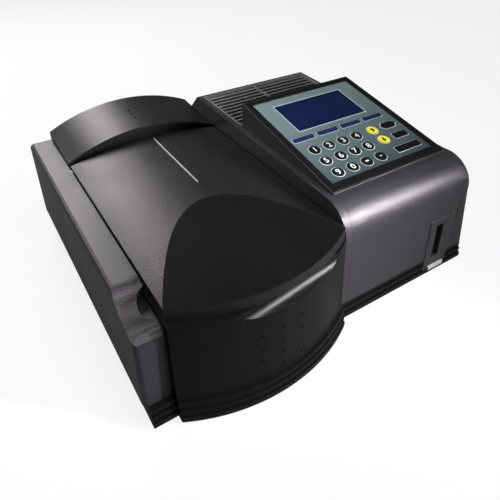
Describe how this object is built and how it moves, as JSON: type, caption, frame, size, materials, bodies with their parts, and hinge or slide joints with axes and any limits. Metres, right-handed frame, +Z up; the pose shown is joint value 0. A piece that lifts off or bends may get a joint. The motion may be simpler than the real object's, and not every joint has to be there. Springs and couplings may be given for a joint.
{
  "type": "visible spectrophotometer",
  "caption": "Bench spectrophotometer: arched lid over a bowed sample bay with a sliding cell carriage, tilted keypad console with display, vent grille, card slot and ribbed plinth.",
  "frame": {"origin": "centre of the footprint on the bench", "axes": "+X the instrument's right, +Y its back, +Z up"},
  "size_m": [0.47, 0.442, 0.2015],
  "materials": {
    "base_black": "satin black moulded plastic",
    "foot_rubber": "matt black rubber",
    "body_grey": "satin metallic dark grey paint film on moulded plastic",
    "body_dark": "satin near-black moulded plastic",
    "lid_grey": "satin metallic dark grey",
    "bright_steel": "turned steel",
    "grille_grey": "satin mid grey",
    "bezel_black": "satin black",
    "overlay_teal": "fine-grained membrane film, grey-teal",
    "display_blue": "dark blue display window",
    "board_green": "solder-masked board",
    "key_black": "satin black key",
    "key_yellow": "satin yellow key",
    "key_blue": "satin blue key",
    "eject_white": "satin white key",
    "chamber_black": "matt black anodised metal",
    "carriage_black": "matt black anodised metal",
    "cell_glass": "clear polished glass",
    "motor_grey": "plain steel motor case",
    "cast_alloy": "machined alloy",
    "lamp_glass": "clear quartz envelope on a ceramic base",
    "optic_mirror": "first-surface mirror on a cement block",
    "sheet_steel": "zinc-plated sheet",
    "black_metal": "blackened sheet",
    "fan_black": "glass-filled black plastic"
  },
  "bodies": {
    "chassis": {"base_tray": "base_black", "rubber_feet": "foot_rubber", "left_housing": "body_grey", "bay_shell": "body_dark", "rear_hood": "lid_grey", "hinge_pins": "bright_steel", "right_housing": "body_grey", "front_panel": "body_grey", "louvre_grille": "grille_grey", "console_housing": "body_grey", "console_bezel": "bezel_black", "keypad_overlay": "overlay_teal", "display_window": "display_blue", "display_module": "board_green", "keypad_board": "board_green", "card_slot_plate": "body_grey", "sample_chamber": "chamber_black", "carriage_rails": "bright_steel", "drive_motors": "motor_grey", "detector_unit": "cast_alloy", "optics_plate": "cast_alloy", "lamp_house": "sheet_steel", "halogen_lamp": "lamp_glass", "slit_plates": "black_metal", "mirror_set": "optic_mirror", "main_board": "board_green", "power_supply": "sheet_steel", "fan_frame": "fan_black", "mains_inlet": "bezel_black"},
    "lid": {"lid": "lid_grey", "lid_strip": "bright_steel"},
    "carriage": {"cell_carriage": "carriage_black", "cuvettes": "cell_glass"},
    "screw": {"carriage_screw": "bright_steel"},
    "filter": {"filter_wheel": "black_metal"},
    "grating": {"grating_table": "cast_alloy"},
    "fan": {"fan_rotor": "fan_black"},
    "rocker": {"power_rocker": "key_black"},
    "eject": {"eject_key": "eject_white"},
    "key_one": {"key_one": "key_black"},
    "key_two": {"key_two": "key_black"},
    "key_three": {"key_three": "key_black"},
    "key_four": {"key_four": "key_black"},
    "key_five": {"key_five": "key_black"},
    "key_six": {"key_six": "key_black"},
    "key_seven": {"key_seven": "key_black"},
    "key_eight": {"key_eight": "key_black"},
    "key_nine": {"key_nine": "key_black"},
    "key_zero": {"key_zero": "key_black"},
    "key_minus": {"key_minus": "key_black"},
    "key_point": {"key_point": "key_black"},
    "key_up": {"key_up": "key_yellow"},
    "key_down": {"key_down": "key_yellow"},
    "key_function_1": {"key_function_1": "key_blue"},
    "key_function_2": {"key_function_2": "key_blue"},
    "key_function_3": {"key_function_3": "key_blue"},
    "key_function_4": {"key_function_4": "key_blue"},
    "key_edit": {"key_edit": "key_black"},
    "key_return": {"key_return": "key_black"},
    "key_enter": {"key_enter": "key_black"}
  },
  "joints": [
    {"name": "lid_hinge", "type": "hinge", "parent": "chassis", "child": "lid", "pos_m": [-0.0965, 0.116, 0.134], "axis": [-1, 0, 0], "range_deg": [0, 65]},
    {"name": "carriage_slide", "type": "slide", "parent": "chassis", "child": "carriage", "axis": [0, 1, 0], "range_m": [0, 0.06]},
    {"name": "filter_spin", "type": "hinge", "parent": "chassis", "child": "filter", "pos_m": [0.15, 0.03, 0.101], "axis": [1, 0, 0], "continuous": true},
    {"name": "grating_turn", "type": "hinge", "parent": "chassis", "child": "grating", "pos_m": [0.14, -0.05, 0.06], "axis": [0, 0, 1], "range_deg": [-20, 20]},
    {"name": "fan_spin", "type": "hinge", "parent": "chassis", "child": "fan", "pos_m": [0.162, 0.21, 0.076], "axis": [0, 1, 0], "continuous": true},
    {"name": "rocker_tilt", "type": "hinge", "parent": "chassis", "child": "rocker", "pos_m": [0.089, 0.2115, 0.06], "axis": [1, 0, 0], "range_deg": [0, 16]},
    {"name": "eject_press", "type": "slide", "parent": "chassis", "child": "eject", "axis": [0, 1, 0], "range_m": [0, 0.002], "stiffness_N_per_m": 400, "springref_m": -0.001},
    {"name": "screw_spin", "type": "hinge", "parent": "chassis", "child": "screw", "pos_m": [-0.0965, -0.04, 0.064], "axis": [0, 1, 0], "continuous": true},
    {"name": "key_one_press", "type": "slide", "parent": "chassis", "child": "key_one", "axis": [0, 0.1968, -0.9804], "range_m": [0, 0.0008], "stiffness_N_per_m": 600, "springref_m": -0.0004},
    {"name": "key_two_press", "type": "slide", "parent": "chassis", "child": "key_two", "axis": [0, 0.1968, -0.9804], "range_m": [0, 0.0008], "stiffness_N_per_m": 600, "springref_m": -0.0004},
    {"name": "key_three_press", "type": "slide", "parent": "chassis", "child": "key_three", "axis": [0, 0.1968, -0.9804], "range_m": [0, 0.0008], "stiffness_N_per_m": 600, "springref_m": -0.0004},
    {"name": "key_four_press", "type": "slide", "parent": "chassis", "child": "key_four", "axis": [0, 0.1968, -0.9804], "range_m": [0, 0.0008], "stiffness_N_per_m": 600, "springref_m": -0.0004},
    {"name": "key_five_press", "type": "slide", "parent": "chassis", "child": "key_five", "axis": [0, 0.1968, -0.9804], "range_m": [0, 0.0008], "stiffness_N_per_m": 600, "springref_m": -0.0004},
    {"name": "key_six_press", "type": "slide", "parent": "chassis", "child": "key_six", "axis": [0, 0.1968, -0.9804], "range_m": [0, 0.0008], "stiffness_N_per_m": 600, "springref_m": -0.0004},
    {"name": "key_seven_press", "type": "slide", "parent": "chassis", "child": "key_seven", "axis": [0, 0.1968, -0.9804], "range_m": [0, 0.0008], "stiffness_N_per_m": 600, "springref_m": -0.0004},
    {"name": "key_eight_press", "type": "slide", "parent": "chassis", "child": "key_eight", "axis": [0, 0.1968, -0.9804], "range_m": [0, 0.0008], "stiffness_N_per_m": 600, "springref_m": -0.0004},
    {"name": "key_nine_press", "type": "slide", "parent": "chassis", "child": "key_nine", "axis": [0, 0.1968, -0.9804], "range_m": [0, 0.0008], "stiffness_N_per_m": 600, "springref_m": -0.0004},
    {"name": "key_zero_press", "type": "slide", "parent": "chassis", "child": "key_zero", "axis": [0, 0.1968, -0.9804], "range_m": [0, 0.0008], "stiffness_N_per_m": 600, "springref_m": -0.0004},
    {"name": "key_minus_press", "type": "slide", "parent": "chassis", "child": "key_minus", "axis": [0, 0.1968, -0.9804], "range_m": [0, 0.0008], "stiffness_N_per_m": 600, "springref_m": -0.0004},
    {"name": "key_point_press", "type": "slide", "parent": "chassis", "child": "key_point", "axis": [0, 0.1968, -0.9804], "range_m": [0, 0.0008], "stiffness_N_per_m": 600, "springref_m": -0.0004},
    {"name": "key_up_press", "type": "slide", "parent": "chassis", "child": "key_up", "axis": [0, 0.1968, -0.9804], "range_m": [0, 0.0008], "stiffness_N_per_m": 600, "springref_m": -0.0004},
    {"name": "key_down_press", "type": "slide", "parent": "chassis", "child": "key_down", "axis": [0, 0.1968, -0.9804], "range_m": [0, 0.0008], "stiffness_N_per_m": 600, "springref_m": -0.0004},
    {"name": "key_function_1_press", "type": "slide", "parent": "chassis", "child": "key_function_1", "axis": [0, 0.1968, -0.9804], "range_m": [0, 0.0008], "stiffness_N_per_m": 600, "springref_m": -0.0004},
    {"name": "key_function_2_press", "type": "slide", "parent": "chassis", "child": "key_function_2", "axis": [0, 0.1968, -0.9804], "range_m": [0, 0.0008], "stiffness_N_per_m": 600, "springref_m": -0.0004},
    {"name": "key_function_3_press", "type": "slide", "parent": "chassis", "child": "key_function_3", "axis": [0, 0.1968, -0.9804], "range_m": [0, 0.0008], "stiffness_N_per_m": 600, "springref_m": -0.0004},
    {"name": "key_function_4_press", "type": "slide", "parent": "chassis", "child": "key_function_4", "axis": [0, 0.1968, -0.9804], "range_m": [0, 0.0008], "stiffness_N_per_m": 600, "springref_m": -0.0004},
    {"name": "key_edit_press", "type": "slide", "parent": "chassis", "child": "key_edit", "axis": [0, 0.1968, -0.9804], "range_m": [0, 0.0008], "stiffness_N_per_m": 600, "springref_m": -0.0004},
    {"name": "key_return_press", "type": "slide", "parent": "chassis", "child": "key_return", "axis": [0, 0.1968, -0.9804], "range_m": [0, 0.0008], "stiffness_N_per_m": 600, "springref_m": -0.0004},
    {"name": "key_enter_press", "type": "slide", "parent": "chassis", "child": "key_enter", "axis": [0, 0.1968, -0.9804], "range_m": [0, 0.0008], "stiffness_N_per_m": 600, "springref_m": -0.0004}
  ],
  "couplings": [
    {"joint": "screw_spin", "follows": "carriage_slide", "rad_per_m": 628.32}
  ]
}
